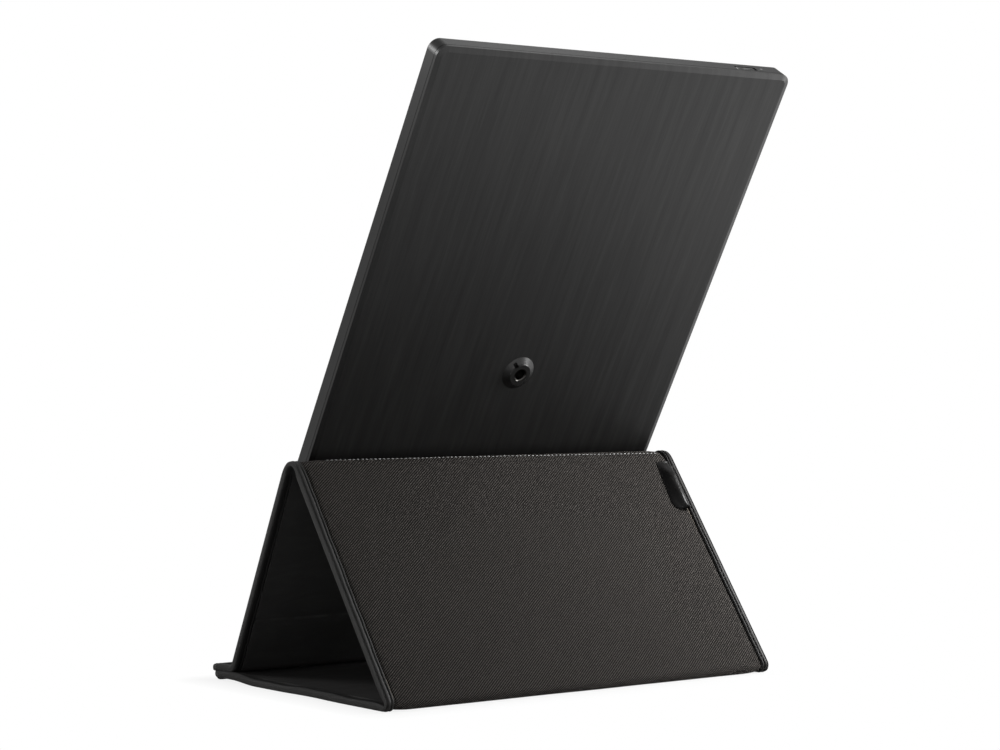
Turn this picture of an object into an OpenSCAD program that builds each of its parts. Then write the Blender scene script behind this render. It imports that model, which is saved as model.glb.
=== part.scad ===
// Portable monitor standing upright on its folded sleeve, which makes a three-sided stand.
// X runs along the stand, the screen faces -Y, and Z=0 is the surface that the stand's base lies on.
// The origin is the middle of the base's footprint.

/* [Monitor case] */
// Border beside the picture on the side with the buttons
chin_w = 25; // [22:0.1:32]
// Border beside the picture on the other side
side_border = 17.1; // [14:0.1:24]
// Border above and below the picture
end_border = 19.1; // [16:0.1:30]
// Thickness from the front of the bezel to the flat back
case_t = 10.5; // [10.2:0.1:14]
// Radius of the case's corners
corner_r = 6; // [5:0.5:14]
// Thickness of the bezel's side walls
bezel_wall = 1.6; // [1.2:0.1:2.2]
// Thickness of the bezel's face
bezel_face = 1.2; // [0.9:0.1:1.5]
// Chamfer round the inside of the bezel's face
bezel_chamfer = 0.8; // [0.2:0.1:0.9]
// Height of the back cover's rim, from the flat back to the parting line
rim_h = 2.9; // [2.4:0.1:4]
// Width of the bevel round the back
bevel_w = 3; // [1:0.1:4.5]
// Depth of the bevel round the back
bevel_d = 1; // [0.4:0.1:1.8]
// Thickness of the back cover's skin
skin_t = 1.4; // [1:0.1:1.7]
// Gap that shows at the parting line
parting_gap = 0.3; // [0.1:0.05:0.5]
// Thickness of the back cover's tongue, which goes inside the bezel
tongue_t = 1; // [0.7:0.1:1.3]
// How far the tongue reaches past the parting line
tongue_h = 2; // [1:0.1:2.6]
// Number of stiffening ribs across the back cover
rib_count = 6; // [2:1:9]
// Thickness of each rib
rib_t = 0.8; // [0.6:0.1:1.2]
// Height of each rib
rib_h = 1.1; // [0.5:0.1:1.3]

/* [Screen] */
// Width of the picture area as the monitor stands
screen_w = 193.6; // [180:0.1:220]
// Height of the picture area as the monitor stands
screen_h = 344.2; // [320:0.1:390]
// How far the glass runs under the bezel on each side
glass_margin = 4; // [2:0.1:5]
// Thickness of the foam between bezel and glass
gasket_t = 0.3; // [0.2:0.05:0.5]
// Thickness of the screen's glass
glass_t = 1.2; // [0.8:0.1:1.4]
// Thickness of the diffuser sheets
diffuser_t = 0.6; // [0.3:0.1:0.8]
// Thickness of the light guide
guide_t = 1.8; // [1.2:0.1:2]
// Width of the strip of lamps beside the light guide
lamp_w = 1.6; // [1:0.1:2.4]
// Sheet thickness of the screen's tray
tray_t = 0.4; // [0.3:0.05:0.6]
// Side clearance between the screen's layers and their tray
tray_gap = 0.3; // [0.1:0.05:0.5]
// Width of each bracket that holds the tray
bracket_w = 14; // [10:0.5:20]
// Sheet thickness of those brackets
bracket_t = 0.6; // [0.4:0.1:0.9]
// How far each bracket laps the back of the tray
bracket_lap = 7; // [4:0.5:12]
// Distance of the lower pair of brackets above the case's bottom edge
bracket_rise = 110; // [95:1:130]
// Distance of the upper pair of brackets below the driver board
bracket_drop = 27; // [20:1:60]

/* [Electronics] */
// Thickness of the circuit boards
board_t = 1; // [0.6:0.1:1.2]
// Width of the driver board
driver_w = 60; // [50:1:70]
// Height of the driver board
driver_h = 112; // [100:1:118]
// Gap between the driver board and the bezel's top wall
driver_gap = 2; // [1.5:0.1:4]
// Height of the chips on the driver board
chip_h = 1.2; // [0.6:0.1:1.5]
// Distance of the socket's middle from the case's long side
port_inset = 29.6; // [21:0.1:34]
// Width of the data and power socket
port_w = 12.3; // [8:0.1:13]
// Height of the socket's shell
port_h = 2.7; // [2.4:0.1:3]
// Depth of the socket's shell
port_depth = 8.4; // [6:0.1:9.5]
// Sheet thickness of the socket's shell
port_wall = 0.3; // [0.2:0.05:0.5]
// Radius of the status light's lens in the top edge
lens_r = 0.8; // [0.5:0.05:1]
// Distance between the middles of the socket and the lens
lens_side = 11.5; // [9.5:0.1:14]
// Width of the board on the back of the screen's tray
panel_board_w = 15; // [10:1:20]
// Length of the board on the back of the screen's tray
panel_board_h = 180; // [120:1:190]
// Width of the flat cable between the two boards
ribbon_w = 22; // [12:1:24]
// Thickness of the flat cable
ribbon_t = 0.3; // [0.2:0.05:0.4]
// Radius of a screw's head
screw_head_r = 1.9; // [1.5:0.1:2.2]
// Height of a screw's head
screw_head_h = 0.5; // [0.3:0.05:0.6]
// Radius of a screw's shank
screw_r = 0.9; // [0.7:0.05:1]
// Wall of the boss round a screw
boss_wall = 1.3; // [1:0.1:1.6]

/* [Buttons] */
// Length of each button's cap
button_l = 9; // [6:0.5:11]
// Width of each button's cap
button_w = 3.6; // [3:0.1:4.5]
// How far a button's cap stands out of the bezel
button_proud = 0.3; // [0.1:0.1:0.8]
// Travel of a button
button_travel = 0.4; // [0.2:0.05:0.6]
// Clearance all round a button's cap
button_gap = 0.15; // [0.1:0.05:0.3]
// Width of the flange that keeps a button in the bezel
button_flange = 0.8; // [0.5:0.1:1]
// Thickness of that flange
flange_t = 0.5; // [0.4:0.05:0.7]
// Height of the power button's middle above the case's bottom edge
power_z = 28; // [24:0.5:32]
// Distance between the middles of the two buttons
button_pitch = 22; // [18:0.5:30]
// Distance of the buttons from the case's long side
button_inset = 10; // [9:0.5:12]
// Height of the switches that the buttons press
switch_h = 1.2; // [0.8:0.1:1.4]

/* [Peg] */
// Distance of the peg from the case's centre line
peg_x = -1.2; // [-12:0.1:12]
// Height of the peg above the case's middle
peg_up = 0.2; // [-6:0.1:6]
// Radius of the peg at the case
peg_base_r = 10.2; // [9:0.1:12]
// Radius of the peg's top
peg_top_r = 6.9; // [6:0.1:8]
// Height of the peg
peg_h = 2.6; // [2:0.1:5]
// Rounding of the peg's top edge
peg_round = 0.5; // [0.3:0.1:0.8]
// Width of the notches in the peg's flank
notch_w = 2.2; // [1:0.1:3]
// Radius of the hole in the peg's bush
bush_bore_r = 3.2; // [2.6:0.1:3.4]
// Wall of the bush
bush_wall = 1; // [0.8:0.1:1.4]
// Chamfer at the mouth of the bush
bush_chamfer = 0.6; // [0.2:0.1:0.7]
// Width of the flange that keeps the bush in the back cover
bush_flange = 1.2; // [0.6:0.1:1.6]
// Thickness of the bush's flange
flange_h = 0.6; // [0.4:0.1:0.8]
// Clearance round a shank or a bush
shank_gap = 0.05; // [0.02:0.01:0.1]

/* [Stand] */
// Length of the stand along X
stand_len = 257; // [245:0.5:300]
// Depth of the stand's base, front end to heel
base_depth = 179.4; // [172:0.1:200]
// Height of the stand's ridge
ridge_h = 123.9; // [110:0.1:134]
// How far the monitor leans back from upright
lean = 31.6; // [26:0.1:34]
// Shift of the monitor along the stand
monitor_shift = -1.3; // [-4:0.1:4]
// Distance from the base's front end to the monitor's lower back edge
foot_inset = 16; // [12:0.1:20]
// Gap between the monitor's back and the front panel
lean_gap = 0.4; // [0.3:0.05:1]
// Gap between the monitor and the ledge that it stands on
rest_gap = 0.3; // [0.3:0.05:0.8]

/* [Sleeve] */
// Thickness of each padded panel
panel_t = 4.2; // [3.6:0.1:5]
// Thickness of the outer fabric
cover_t = 1.1; // [0.8:0.1:1.3]
// Thickness of the inner lining
lining_t = 1.1; // [0.8:0.1:1.3]
// Radius of the ridge's fold
ridge_r = 10; // [7:0.1:12]
// Thickness of the folds, which hold no board
fold_t = 2.6; // [1.6:0.1:3]
// Radius of the bend between front panel and ledge
toe_r = 3; // [2:0.1:4]
// How far the ledge reaches past the base's front end
ledge_over = 1; // [0:0.1:3]
// Gap between the ledge and the base under it
ledge_gap = 0.4; // [0.35:0.05:0.8]
// Width of the binding along the panels' ends
trim_w = 4.5; // [3:0.1:7]
// Thickness of each lip of that binding
trim_lip = 1.6; // [1:0.1:1.7]
// Depth of the groove between its lips
trim_groove = 1.2; // [0.5:0.1:2]
// Distance from a panel's edge to its board
board_inset = 1; // [0.5:0.1:3]
// Length of the front panel's lower board, above the ledge
lower_board = 30; // [20:0.5:40]
// Width of the crease between the front panel's two boards
crease_w = 3; // [1.5:0.1:6]

/* [Side loop] */
// Length of the elastic loop on the rear panel
loop_len = 33; // [25:0.5:50]
// Outer radius of the loop at its upper end
loop_r_top = 4; // [3:0.1:5]
// Outer radius of the loop at its lower end
loop_r_low = 5; // [4:0.1:7]
// Thickness of the loop's band
loop_t = 0.8; // [0.5:0.1:1]
// Distance from the ridge's fold to the loop
loop_drop = 2; // [1:0.5:30]

/* [Hidden] */
$fn = 64;
eps = 0.01;

// How deep each layer of the monitor lies, measured from its flat back towards the screen
face_y = -case_t + bezel_face;
glass_y = face_y + gasket_t;
diffuser_y = glass_y + glass_t;
guide_y = diffuser_y + diffuser_t;
tray_y = guide_y + guide_t;
tray_back_y = tray_y + tray_t;
head_gap = 0.2;
driver_front_y = tray_back_y + head_gap + screw_head_h;
driver_back_y = driver_front_y + board_t;
parting_y = -rim_h;
tongue_gap = 0.15;
rib_margin = 14;

// The case, and where the picture lies on it
case_w = chin_w + screen_w + side_border;
case_h = screen_h + 2 * end_border;
screen_x = -case_w / 2 + chin_w + screen_w / 2;
screen_z = case_h / 2;
glass_w = screen_w + 2 * glass_margin;
glass_h = screen_h + 2 * glass_margin;
tray_w = glass_w + 2 * (tray_gap + tray_t);
tray_h = glass_h + 2 * (tray_gap + tray_t);
tray_lip_h = tray_t + guide_t + diffuser_t;

// Screws and what they hold
boss_r = screw_r + shank_gap + boss_wall;
wall_in = case_w / 2 - bezel_wall;
tongue_in = wall_in - tongue_gap - tongue_t;
bracket_reach = boss_r + 0.2;
bracket_right = tongue_in - bracket_reach;
bracket_inset = 6;
bracket_left = bracket_inset - bracket_right;
bracket_end = boss_r;

// Driver board and the socket on its edge
port_x = -case_w / 2 + port_inset;
port_side = 17;
port_clear = 0.4;
mouth_clear = 1.3;
port_sunk = 0.4;
port_room = 2;
port_top = case_h - port_sunk;
port_y = driver_front_y - port_h / 2;
driver_top = case_h - bezel_wall - driver_gap;
driver_x = port_x - port_side + driver_w / 2;
driver_bottom = driver_top - driver_h;
driver_hole_inset = 5;
driver_screw_grip = 1.3;
hole_spare = 0.2;
bracket_z = [bracket_rise, driver_bottom - bracket_drop];
panel_board_gap = 1;
panel_board_x = screen_x - tray_w / 2 + bracket_lap + panel_board_gap + panel_board_w / 2;
ribbon_run = 26;
ribbon_bend = 3;
panel_board_top = driver_bottom - ribbon_run;
panel_board_t = 0.8;
connector_h = 0.9;
connector_l = 14;
ribbon_lap = 5;

// Buttons
switch_gap = 0.05;
button_x = -case_w / 2 + button_inset;
brightness_z = power_z + button_pitch;
stem_l = 0.4;
stem_r = 1.1;
stem_y = face_y + flange_t + stem_l;
switch_y = stem_y + button_travel + switch_gap;
switch_w = 3.4;
button_board_y = switch_y + switch_h;
button_board_w = 8;
button_board_end = 5;
button_board_tail = 9;
button_board_low = power_z - button_l / 2 - button_board_tail;
button_board_high = brightness_z + button_l / 2 + button_board_end;
pin_r = 0.7;
pin_gap = 0.05;
pin_shoulder = 0.8;
pin_proud = 0.3;
pin_inset = 1.6;

// Status light beside the socket: its lens in the wall, and its lamp on the driver board
lens_flange = 0.4;
lens_flange_t = 0.6;
lens_room = 0.1;
lens_clear = 0.2;
lens_x = port_x - lens_side;
lens_y = parting_y - tongue_h - lens_r - lens_flange - lens_room;
lens_lamp = 2.4;

// Peg and its bush
peg_z = case_h / 2 + peg_up;
bush_r = bush_bore_r + bush_wall;
bush_boss_wall = 1.6;
bush_boss_h = driver_back_y - tray_back_y + 0.4;
bush_low = -skin_t - bush_boss_h;

// Stand, drawn in its end view: the first number of a point is Y and the second is Z
up = [sin(lean), cos(lean)];
behind = [cos(lean), -sin(lean)];
front_y = -base_depth / 2;
base_gap = panel_t + ledge_gap;
ledge_top = base_gap + panel_t;
foot = [front_y + foot_inset, ledge_top + rest_gap - bevel_d * sin(lean)];
ridge_z = ridge_h - ridge_r;
ridge_y = foot[0] + (lean_gap + ridge_r + (ridge_z - foot[1]) * sin(lean)) / cos(lean);
ridge = [ridge_y, ridge_z];
heel = [base_depth / 2 - panel_t, panel_t];
span = norm(ridge - heel);
slope = atan2(ridge[1] - heel[1], heel[0] - ridge[0]) + asin((ridge_r - panel_t) / span);
rear_out = [sin(slope), cos(slope)];
rear_down = [cos(slope), -sin(slope)];
rear_len = sqrt(span * span - pow(ridge_r - panel_t, 2));
toe_z = ledge_top + toe_r;
toe_y = foot[0] + (lean_gap - toe_r + (toe_z - foot[1]) * sin(lean)) / cos(lean);
toe = [toe_y, toe_z];
front_len = (ridge - toe) * up;
ledge_y = front_y - ledge_over + panel_t / 2;
base_y = front_y + panel_t / 2;
toe_steps = 12;
cloth_len = stand_len - 2 * trim_w;
board_len = cloth_len - 2 * board_inset;
loop_turn = atan((loop_r_low - loop_r_top) / loop_len);
loop_foot_x = stand_len / 2 - trim_w - 0.5;

/* ---- helpers ---- */

function reversed(list) = [for (i = [len(list) - 1:-1:0]) list[i]];
function dir(angle) = [cos(angle), sin(angle)];

// Outlines of the stand's panels at a depth under their outer face, from ridge or heel outwards
front_path = function(depth) concat(
    [ridge - (ridge_r - depth) * behind],
    [for (i = [0:toe_steps]) toe + (toe_r + depth) * dir(-lean - (90 - lean) * i / toe_steps)],
    [[ledge_y, ledge_top - depth]]
);
rear_path = function(depth) [
    ridge + (ridge_r - depth) * rear_out,
    ridge + (ridge_r - depth) * rear_out + rear_len * rear_down
];
base_path = function(depth) [[heel[0], depth], [base_y, depth]];

// A flat outline in Y and Z, extruded along X about X=0
module along_x(length) {
    rotate([90, 0, 90])
        linear_extrude(length, center = true)
            children();
}

// One layer of a panel, between two depths under its outer face
module layer(path, from, to, length) {
    along_x(length)
        polygon(concat(path(from), reversed(path(to))));
}

module cover_layer(path) {
    layer(path, 0, cover_t, cloth_len);
}

module lining_layer(path) {
    layer(path, panel_t - lining_t, panel_t, cloth_len);
}

// A grooved binding along both ends of a panel
module trim(path) {
    for (side = [-1, 1]) {
        translate([side * (stand_len - trim_w) / 2, 0, 0]) {
            layer(path, 0, trim_lip, trim_w);
            layer(path, panel_t - trim_lip, panel_t, trim_w);
        }
        translate([side * (stand_len - trim_w - trim_groove) / 2, 0, 0])
            layer(path, trim_lip, panel_t - trim_lip, trim_w - trim_groove);
    }
}

// A flat stiffener inside a panel, between two distances along it
module stiffener(start, along, inward, from, to) {
    near = start + from * along;
    far = start + to * along;
    top = cover_t * inward;
    bottom = (panel_t - lining_t) * inward;
    along_x(board_len)
        polygon([near + top, far + top, far + bottom, near + bottom]);
}

// A fold round an axis along X, between two angles in the end view
module fold(centre, radius, from, to) {
    translate([0, centre[0], centre[1]])
        rotate([90, 0, 90])
            rotate([0, 0, from])
                rotate_extrude(angle = to - from)
                    translate([radius - fold_t, -stand_len / 2])
                        square([fold_t, stand_len]);
}

// A half-round end along a panel's edge, which closes its layers
module round_end(centre) {
    translate([0, centre[0], centre[1]])
        rotate([90, 0, 90])
            rotate([0, 0, 90])
                rotate_extrude(angle = 180)
                    translate([0, -stand_len / 2])
                        square([panel_t / 2, stand_len]);
}

// From the monitor's own upright frame to its place on the stand
module on_stand() {
    translate([monitor_shift, foot[0], foot[1]])
        rotate([-lean, 0, 0])
            children();
}

module rounded_rect(width, height, radius) {
    square([width - 2 * radius, height], center = true);
    square([width, height - 2 * radius], center = true);
    for (x = [-1, 1], y = [-1, 1])
        translate([x * (width / 2 - radius), y * (height / 2 - radius)])
            circle(radius);
}

module pill(width, height) {
    square([width, height - width], center = true);
    for (y = [-1, 1])
        translate([0, y * (height - width) / 2])
            circle(width / 2);
}

// A flat outline that stands upright, between two depths
module plate(x, z, front, back) {
    translate([x, back, z])
        rotate([90, 0, 0])
            linear_extrude(back - front)
                children();
}

// An upright slab with round corners, between two depths
module slab(x, z, width, height, radius, front, back) {
    plate(x, z, front, back)
        rounded_rect(width, height, radius);
}

// An upright block, between two depths
module block(x, z, width, height, front, back) {
    translate([x - width / 2, front, z - height / 2])
        cube([width, back - front, height]);
}

// A round bar or hole along the monitor's depth
module rod(x, z, radius, front, back) {
    translate([x, back, z])
        rotate([90, 0, 0])
            cylinder(h = back - front, r = radius);
}

// A round bar or hole along the monitor's height
module post(x, y, radius, low, high) {
    translate([x, y, low])
        cylinder(h = high - low, r = radius);
}

// A slab with round corners whose back edge is bevelled all round
module bevelled_slab(width, height, radius, inset, depth) {
    for (x = [-1, 1], z = [radius, height - radius])
        translate([x * (width / 2 - radius), 0, z])
            rotate([90, 0, 0])
                cylinder(h = depth, r1 = radius - inset, r2 = radius);
    along_x(width - 2 * radius)
        polygon([[-depth, 0], [-depth, height], [0, height - inset], [0, inset]]);
    translate([0, 0, radius])
        linear_extrude(height - 2 * radius)
            polygon([
                [-width / 2, -depth], [width / 2, -depth],
                [width / 2 - inset, 0], [inset - width / 2, 0]
            ]);
}

// Places on the driver board where screws hold it
module at_driver_holes() {
    for (x = [-1, 1], z = [driver_bottom + driver_hole_inset, driver_top - driver_hole_inset - port_depth])
        translate([driver_x + x * (driver_w / 2 - driver_hole_inset), 0, z])
            children();
}

// Places where a bracket is screwed to the bezel
module at_brackets() {
    for (z = bracket_z) {
        translate([bracket_right, 0, z])
            children();
        translate([bracket_left, 0, z])
            mirror([1, 0, 0])
                children();
    }
}

// Places of the two pins that hold the button board
module at_board_pins() {
    for (z = [button_board_low + pin_inset, button_board_high - pin_inset])
        translate([button_x, 0, z])
            children();
}

/* ---- monitor ---- */

// Back cover: bevelled skin, tongue, ribs and bosses
module rear_cover() {
    inner_w = case_w - 2 * bezel_wall;
    inner_h = case_h - 2 * bezel_wall;
    pocket_r = corner_r - bezel_wall;
    color([0.09, 0.09, 0.10]) on_stand()
        difference() {
            union() {
                difference() {
                    union() {
                        bevelled_slab(case_w, case_h, corner_r, bevel_w, bevel_d);
                        slab(0, case_h / 2, case_w, case_h, corner_r, parting_y, -bevel_d);
                    }
                    slab(0, case_h / 2, inner_w - 2 * bevel_w, inner_h - 2 * bevel_w, corner_r - bevel_w,
                         parting_y - eps, -skin_t);
                }
                back_tongue(inner_w, inner_h, pocket_r);
                back_ribs(inner_w);
                at_driver_holes()
                    rod(0, 0, boss_r, driver_back_y, -skin_t + eps);
                rod(peg_x, peg_z, bush_r + bush_boss_wall, bush_low, -skin_t + eps);
            }
            at_driver_holes()
                rod(0, 0, screw_r + shank_gap, driver_back_y - eps,
                    driver_back_y + driver_screw_grip + hole_spare);
            rod(peg_x, peg_z, bush_r + shank_gap, bush_low - eps, eps);
            block(port_x, case_h, port_w + 2 * port_room, 2 * (port_depth + port_room),
                  parting_y - tongue_h - eps, parting_y);
        }
}

// The ring that goes inside the bezel's wall and keeps the two halves in line
module back_tongue(inner_w, inner_h, pocket_r) {
    outer_w = inner_w - 2 * tongue_gap;
    outer_h = inner_h - 2 * tongue_gap;
    outer_r = pocket_r - tongue_gap;
    difference() {
        slab(0, case_h / 2, outer_w, outer_h, outer_r, parting_y - tongue_h, parting_y + eps);
        slab(0, case_h / 2, outer_w - 2 * tongue_t, outer_h - 2 * tongue_t, outer_r - tongue_t,
             parting_y - tongue_h - eps, parting_y + 2 * eps);
    }
}

// Ribs across the inside of the back, below the driver board
module back_ribs(inner_w) {
    first = corner_r + rib_margin;
    last = driver_bottom - rib_margin;
    for (i = [0:rib_count - 1])
        block(0, first + (last - first) * i / (rib_count - 1), inner_w - 2 * bevel_w, rib_t,
              -skin_t - rib_h, -skin_t + eps);
}

// Front bezel: face round the screen, side walls, bosses for the brackets, button holes
module front_bezel() {
    back = parting_y - parting_gap;
    color([0.07, 0.07, 0.075]) on_stand()
        difference() {
            union() {
                difference() {
                    slab(0, case_h / 2, case_w, case_h, corner_r, -case_t, back);
                    slab(0, case_h / 2, case_w - 2 * bezel_wall, case_h - 2 * bezel_wall,
                         corner_r - bezel_wall, face_y, back + eps);
                }
                at_brackets()
                    rod(0, 0, boss_r, face_y - eps, tray_back_y);
                at_board_pins()
                    rod(0, 0, pin_r + pin_shoulder, face_y - eps, button_board_y);
                at_board_pins()
                    rod(0, 0, pin_r, face_y - eps, button_board_y + board_t + pin_proud);
            }
            block(screen_x, screen_z, screen_w, screen_h, -case_t - eps, face_y + eps);
            window_chamfer();
            at_brackets()
                rod(0, 0, screw_r + shank_gap, face_y + 2 * hole_spare, tray_back_y + eps);
            for (z = [power_z, brightness_z])
                plate(button_x, z, -case_t - eps, face_y + eps)
                    pill(button_w + 2 * button_gap, button_l + 2 * button_gap);
            post(lens_x, lens_y, lens_r + shank_gap, case_h - bezel_wall - eps, case_h + eps);
            block(port_x, case_h, port_w + 2 * mouth_clear, 4 * bezel_wall,
                  port_y - port_h / 2 - port_clear, port_y + port_h / 2 + port_clear);
        }
}

// Cutter for the chamfer round the window: a flat pyramid whose sides slope at 45 degrees
module window_chamfer() {
    wide = screen_w / 2 + bezel_chamfer + eps;
    high = screen_h / 2 + bezel_chamfer + eps;
    front = -case_t - eps;
    back = -case_t + bezel_chamfer;
    translate([screen_x, 0, screen_z])
        intersection() {
            along_x(2 * wide)
                polygon([[front, -high], [front, high], [back, screen_h / 2], [back, -screen_h / 2]]);
            linear_extrude(2 * high, center = true)
                polygon([[-wide, front], [wide, front], [screen_w / 2, back], [-screen_w / 2, back]]);
        }
}

// Foam frame between the bezel's face and the glass
module screen_gasket() {
    gasket_inset = 0.5;
    color([0.05, 0.05, 0.05]) on_stand()
        difference() {
            block(screen_x, screen_z, glass_w, glass_h, face_y, glass_y);
            block(screen_x, screen_z, screen_w + 2 * gasket_inset, screen_h + 2 * gasket_inset,
                  face_y - eps, glass_y + eps);
        }
}

module lcd_glass() {
    color([0.02, 0.02, 0.03]) on_stand()
        block(screen_x, screen_z, glass_w, glass_h, glass_y, diffuser_y);
}

module diffuser_sheets() {
    color([0.93, 0.93, 0.93]) on_stand()
        block(screen_x, screen_z, glass_w, glass_h, diffuser_y, guide_y);
}

module light_guide() {
    color([0.85, 0.9, 0.92, 0.6]) on_stand()
        block(screen_x + lamp_w / 2, screen_z, glass_w - lamp_w, glass_h, guide_y, tray_y);
}

// Strip of lamps along the light guide's edge on the button side
module lamp_strip() {
    lamps = 36;
    strip_x = screen_x - glass_w / 2 + lamp_w / 2;
    carrier = lamp_w / 2;
    color([0.95, 0.93, 0.7]) on_stand() {
        block(strip_x - carrier / 2, screen_z, carrier, glass_h, guide_y, tray_y);
        for (i = [0:lamps - 1])
            block(strip_x + carrier / 2 - eps, screen_z - glass_h / 2 + (i + 0.5) * glass_h / lamps,
                  carrier, glass_h / lamps / 2, guide_y, tray_y);
    }
}

// Shallow pan that holds the screen's layers
module screen_tray() {
    color([0.62, 0.63, 0.65]) on_stand()
        difference() {
            block(screen_x, screen_z, tray_w, tray_h, tray_back_y - tray_lip_h, tray_back_y);
            block(screen_x, screen_z, tray_w - 2 * tray_t, tray_h - 2 * tray_t,
                  tray_back_y - tray_lip_h - eps, tray_y);
        }
}

// Four sheet brackets from the bezel's bosses on to the back of the tray
module tray_brackets() {
    right_reach = bracket_right - (screen_x + tray_w / 2) + bracket_lap;
    left_reach = (screen_x - tray_w / 2) - bracket_left + bracket_lap;
    color([0.7, 0.71, 0.73]) on_stand()
        for (z = bracket_z) {
            bracket(bracket_right, z, -right_reach);
            bracket(bracket_left, z, left_reach);
        }
}

module bracket(x, z, reach) {
    long = abs(reach) + bracket_end;
    middle = x + (reach - sign(reach) * bracket_end) / 2;
    difference() {
        slab(middle, z, long, bracket_w, bracket_end, tray_back_y, tray_back_y + bracket_t);
        rod(x, z, screw_r + shank_gap, tray_back_y - eps, tray_back_y + bracket_t + eps);
    }
}

// A screw with a low head, whose shank points towards the screen
module screw(head_y, tip_y) {
    rod(0, 0, screw_head_r, head_y, head_y + screw_head_h);
    rod(0, 0, screw_r, tip_y, head_y + eps);
}

module tray_screws() {
    color([0.75, 0.75, 0.76]) on_stand()
        at_brackets()
            screw(tray_back_y + bracket_t, face_y + 3 * hole_spare);
}

// Driver board: two large chips, a row of small parts, and the status light's lamp
module driver_board() {
    main_chip = 17;
    power_chip = 13;
    part_count = 6;
    part_pitch = 8;
    color([0.05, 0.3, 0.16]) on_stand()
        difference() {
            union() {
                block(driver_x, (driver_top + driver_bottom) / 2, driver_w, driver_h,
                      driver_front_y, driver_back_y);
                block(driver_x + driver_w / 15, driver_top - 0.3 * driver_h, main_chip, main_chip,
                      driver_back_y - eps, driver_back_y + chip_h);
                block(driver_x - driver_w / 7, driver_top - 0.55 * driver_h, power_chip, power_chip,
                      driver_back_y - eps, driver_back_y + chip_h);
                for (i = [0:part_count - 1])
                    block(driver_x + (i - (part_count - 1) / 2) * part_pitch, driver_top - 0.75 * driver_h,
                          part_pitch / 2, 0.75 * part_pitch,
                          driver_back_y - eps, driver_back_y + 0.7 * chip_h);
                block(lens_x, driver_top - lens_lamp / 2, lens_lamp, lens_lamp,
                      lens_y - lens_lamp / 2, driver_front_y + eps);
            }
            at_driver_holes()
                rod(0, 0, screw_r + shank_gap, driver_front_y - eps, driver_back_y + eps);
        }
}

module driver_screws() {
    color([0.75, 0.75, 0.76]) on_stand()
        at_driver_holes() {
            rod(0, 0, screw_head_r, driver_front_y - screw_head_h, driver_front_y);
            rod(0, 0, screw_r, driver_front_y - eps, driver_back_y + driver_screw_grip);
        }
}

// Data and power socket: a shell with a wide and a narrow mouth, each with its tongue
module usb_port() {
    front = port_y - port_h / 2;
    back = port_y + port_h / 2;
    middle = port_top - port_depth / 2;
    inner_w = port_w - 3 * port_wall;
    wide = inner_w * 0.58;
    narrow = inner_w - wide;
    wide_x = port_x - port_w / 2 + port_wall + wide / 2;
    narrow_x = port_x + port_w / 2 - port_wall - narrow / 2;
    floor_h = 1;
    tongue = 0.6;
    color([0.78, 0.78, 0.8]) on_stand() {
        difference() {
            slab(port_x, middle, port_w, port_depth, 0.2, front, back);
            block(wide_x, middle + floor_h, wide, port_depth, front + port_wall, back - port_wall);
            block(narrow_x, middle + floor_h, narrow, port_depth, front + port_wall, back - port_wall);
        }
        for (mouth = [[wide_x, wide], [narrow_x, narrow]])
            block(mouth[0], middle - 0.4, mouth[1] - 1.2, port_depth - 1.4,
                  port_y - tongue / 2, port_y + tongue / 2);
    }
}

module panel_board() {
    color([0.08, 0.22, 0.3]) on_stand() {
        block(panel_board_x, panel_board_top - panel_board_h / 2, panel_board_w, panel_board_h,
              tray_back_y, tray_back_y + panel_board_t);
        block(panel_board_x, panel_board_top - panel_board_h / 2, panel_board_w / 2, connector_l,
              tray_back_y + panel_board_t - eps, tray_back_y + panel_board_t + connector_h);
    }
}

// Flat cable that steps down from the driver board to the board on the tray
module ribbon_cable() {
    low = tray_back_y + panel_board_t;
    path = [
        [driver_back_y, driver_bottom + ribbon_lap],
        [driver_back_y, driver_bottom - ribbon_bend],
        [low, panel_board_top + ribbon_bend],
        [low, panel_board_top - ribbon_lap]
    ];
    color([0.8, 0.78, 0.7]) on_stand()
        translate([panel_board_x + ribbon_w / 2 - panel_board_w / 2, 0, 0])
            along_x(ribbon_w)
                polygon(concat(path, reversed([for (p = path) p + [ribbon_t, 0]])));
}

module button_board() {
    color([0.05, 0.3, 0.16]) on_stand()
        difference() {
            union() {
                block(button_x, (button_board_low + button_board_high) / 2,
                      button_board_w, button_board_high - button_board_low,
                      button_board_y, button_board_y + board_t);
                for (z = [power_z, brightness_z])
                    block(button_x, z, switch_w, switch_w, switch_y, button_board_y + eps);
            }
            at_board_pins()
                rod(0, 0, pin_r + pin_gap, button_board_y - eps, button_board_y + board_t + eps);
        }
}

// Light pipe of the status light, kept by a flange inside the top wall
module status_lens() {
    wall_z = case_h - bezel_wall;
    color([0.8, 0.9, 1, 0.7]) on_stand() {
        post(lens_x, lens_y, lens_r, driver_top + lens_clear, case_h);
        post(lens_x, lens_y, lens_r + lens_flange, wall_z - lens_flange_t, wall_z);
    }
}

// Cap, flange and stem of one button
module button(z) {
    color([0.12, 0.12, 0.13]) on_stand() {
        plate(button_x, z, -case_t - button_proud, face_y + eps)
            pill(button_w, button_l);
        plate(button_x, z, face_y, face_y + flange_t)
            pill(button_w + 2 * button_flange, button_l + 2 * button_flange);
        rod(button_x, z, stem_r, face_y + flange_t - eps, stem_y);
    }
}

module power_button() {
    button(power_z);
}

module brightness_button() {
    button(brightness_z);
}

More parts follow.
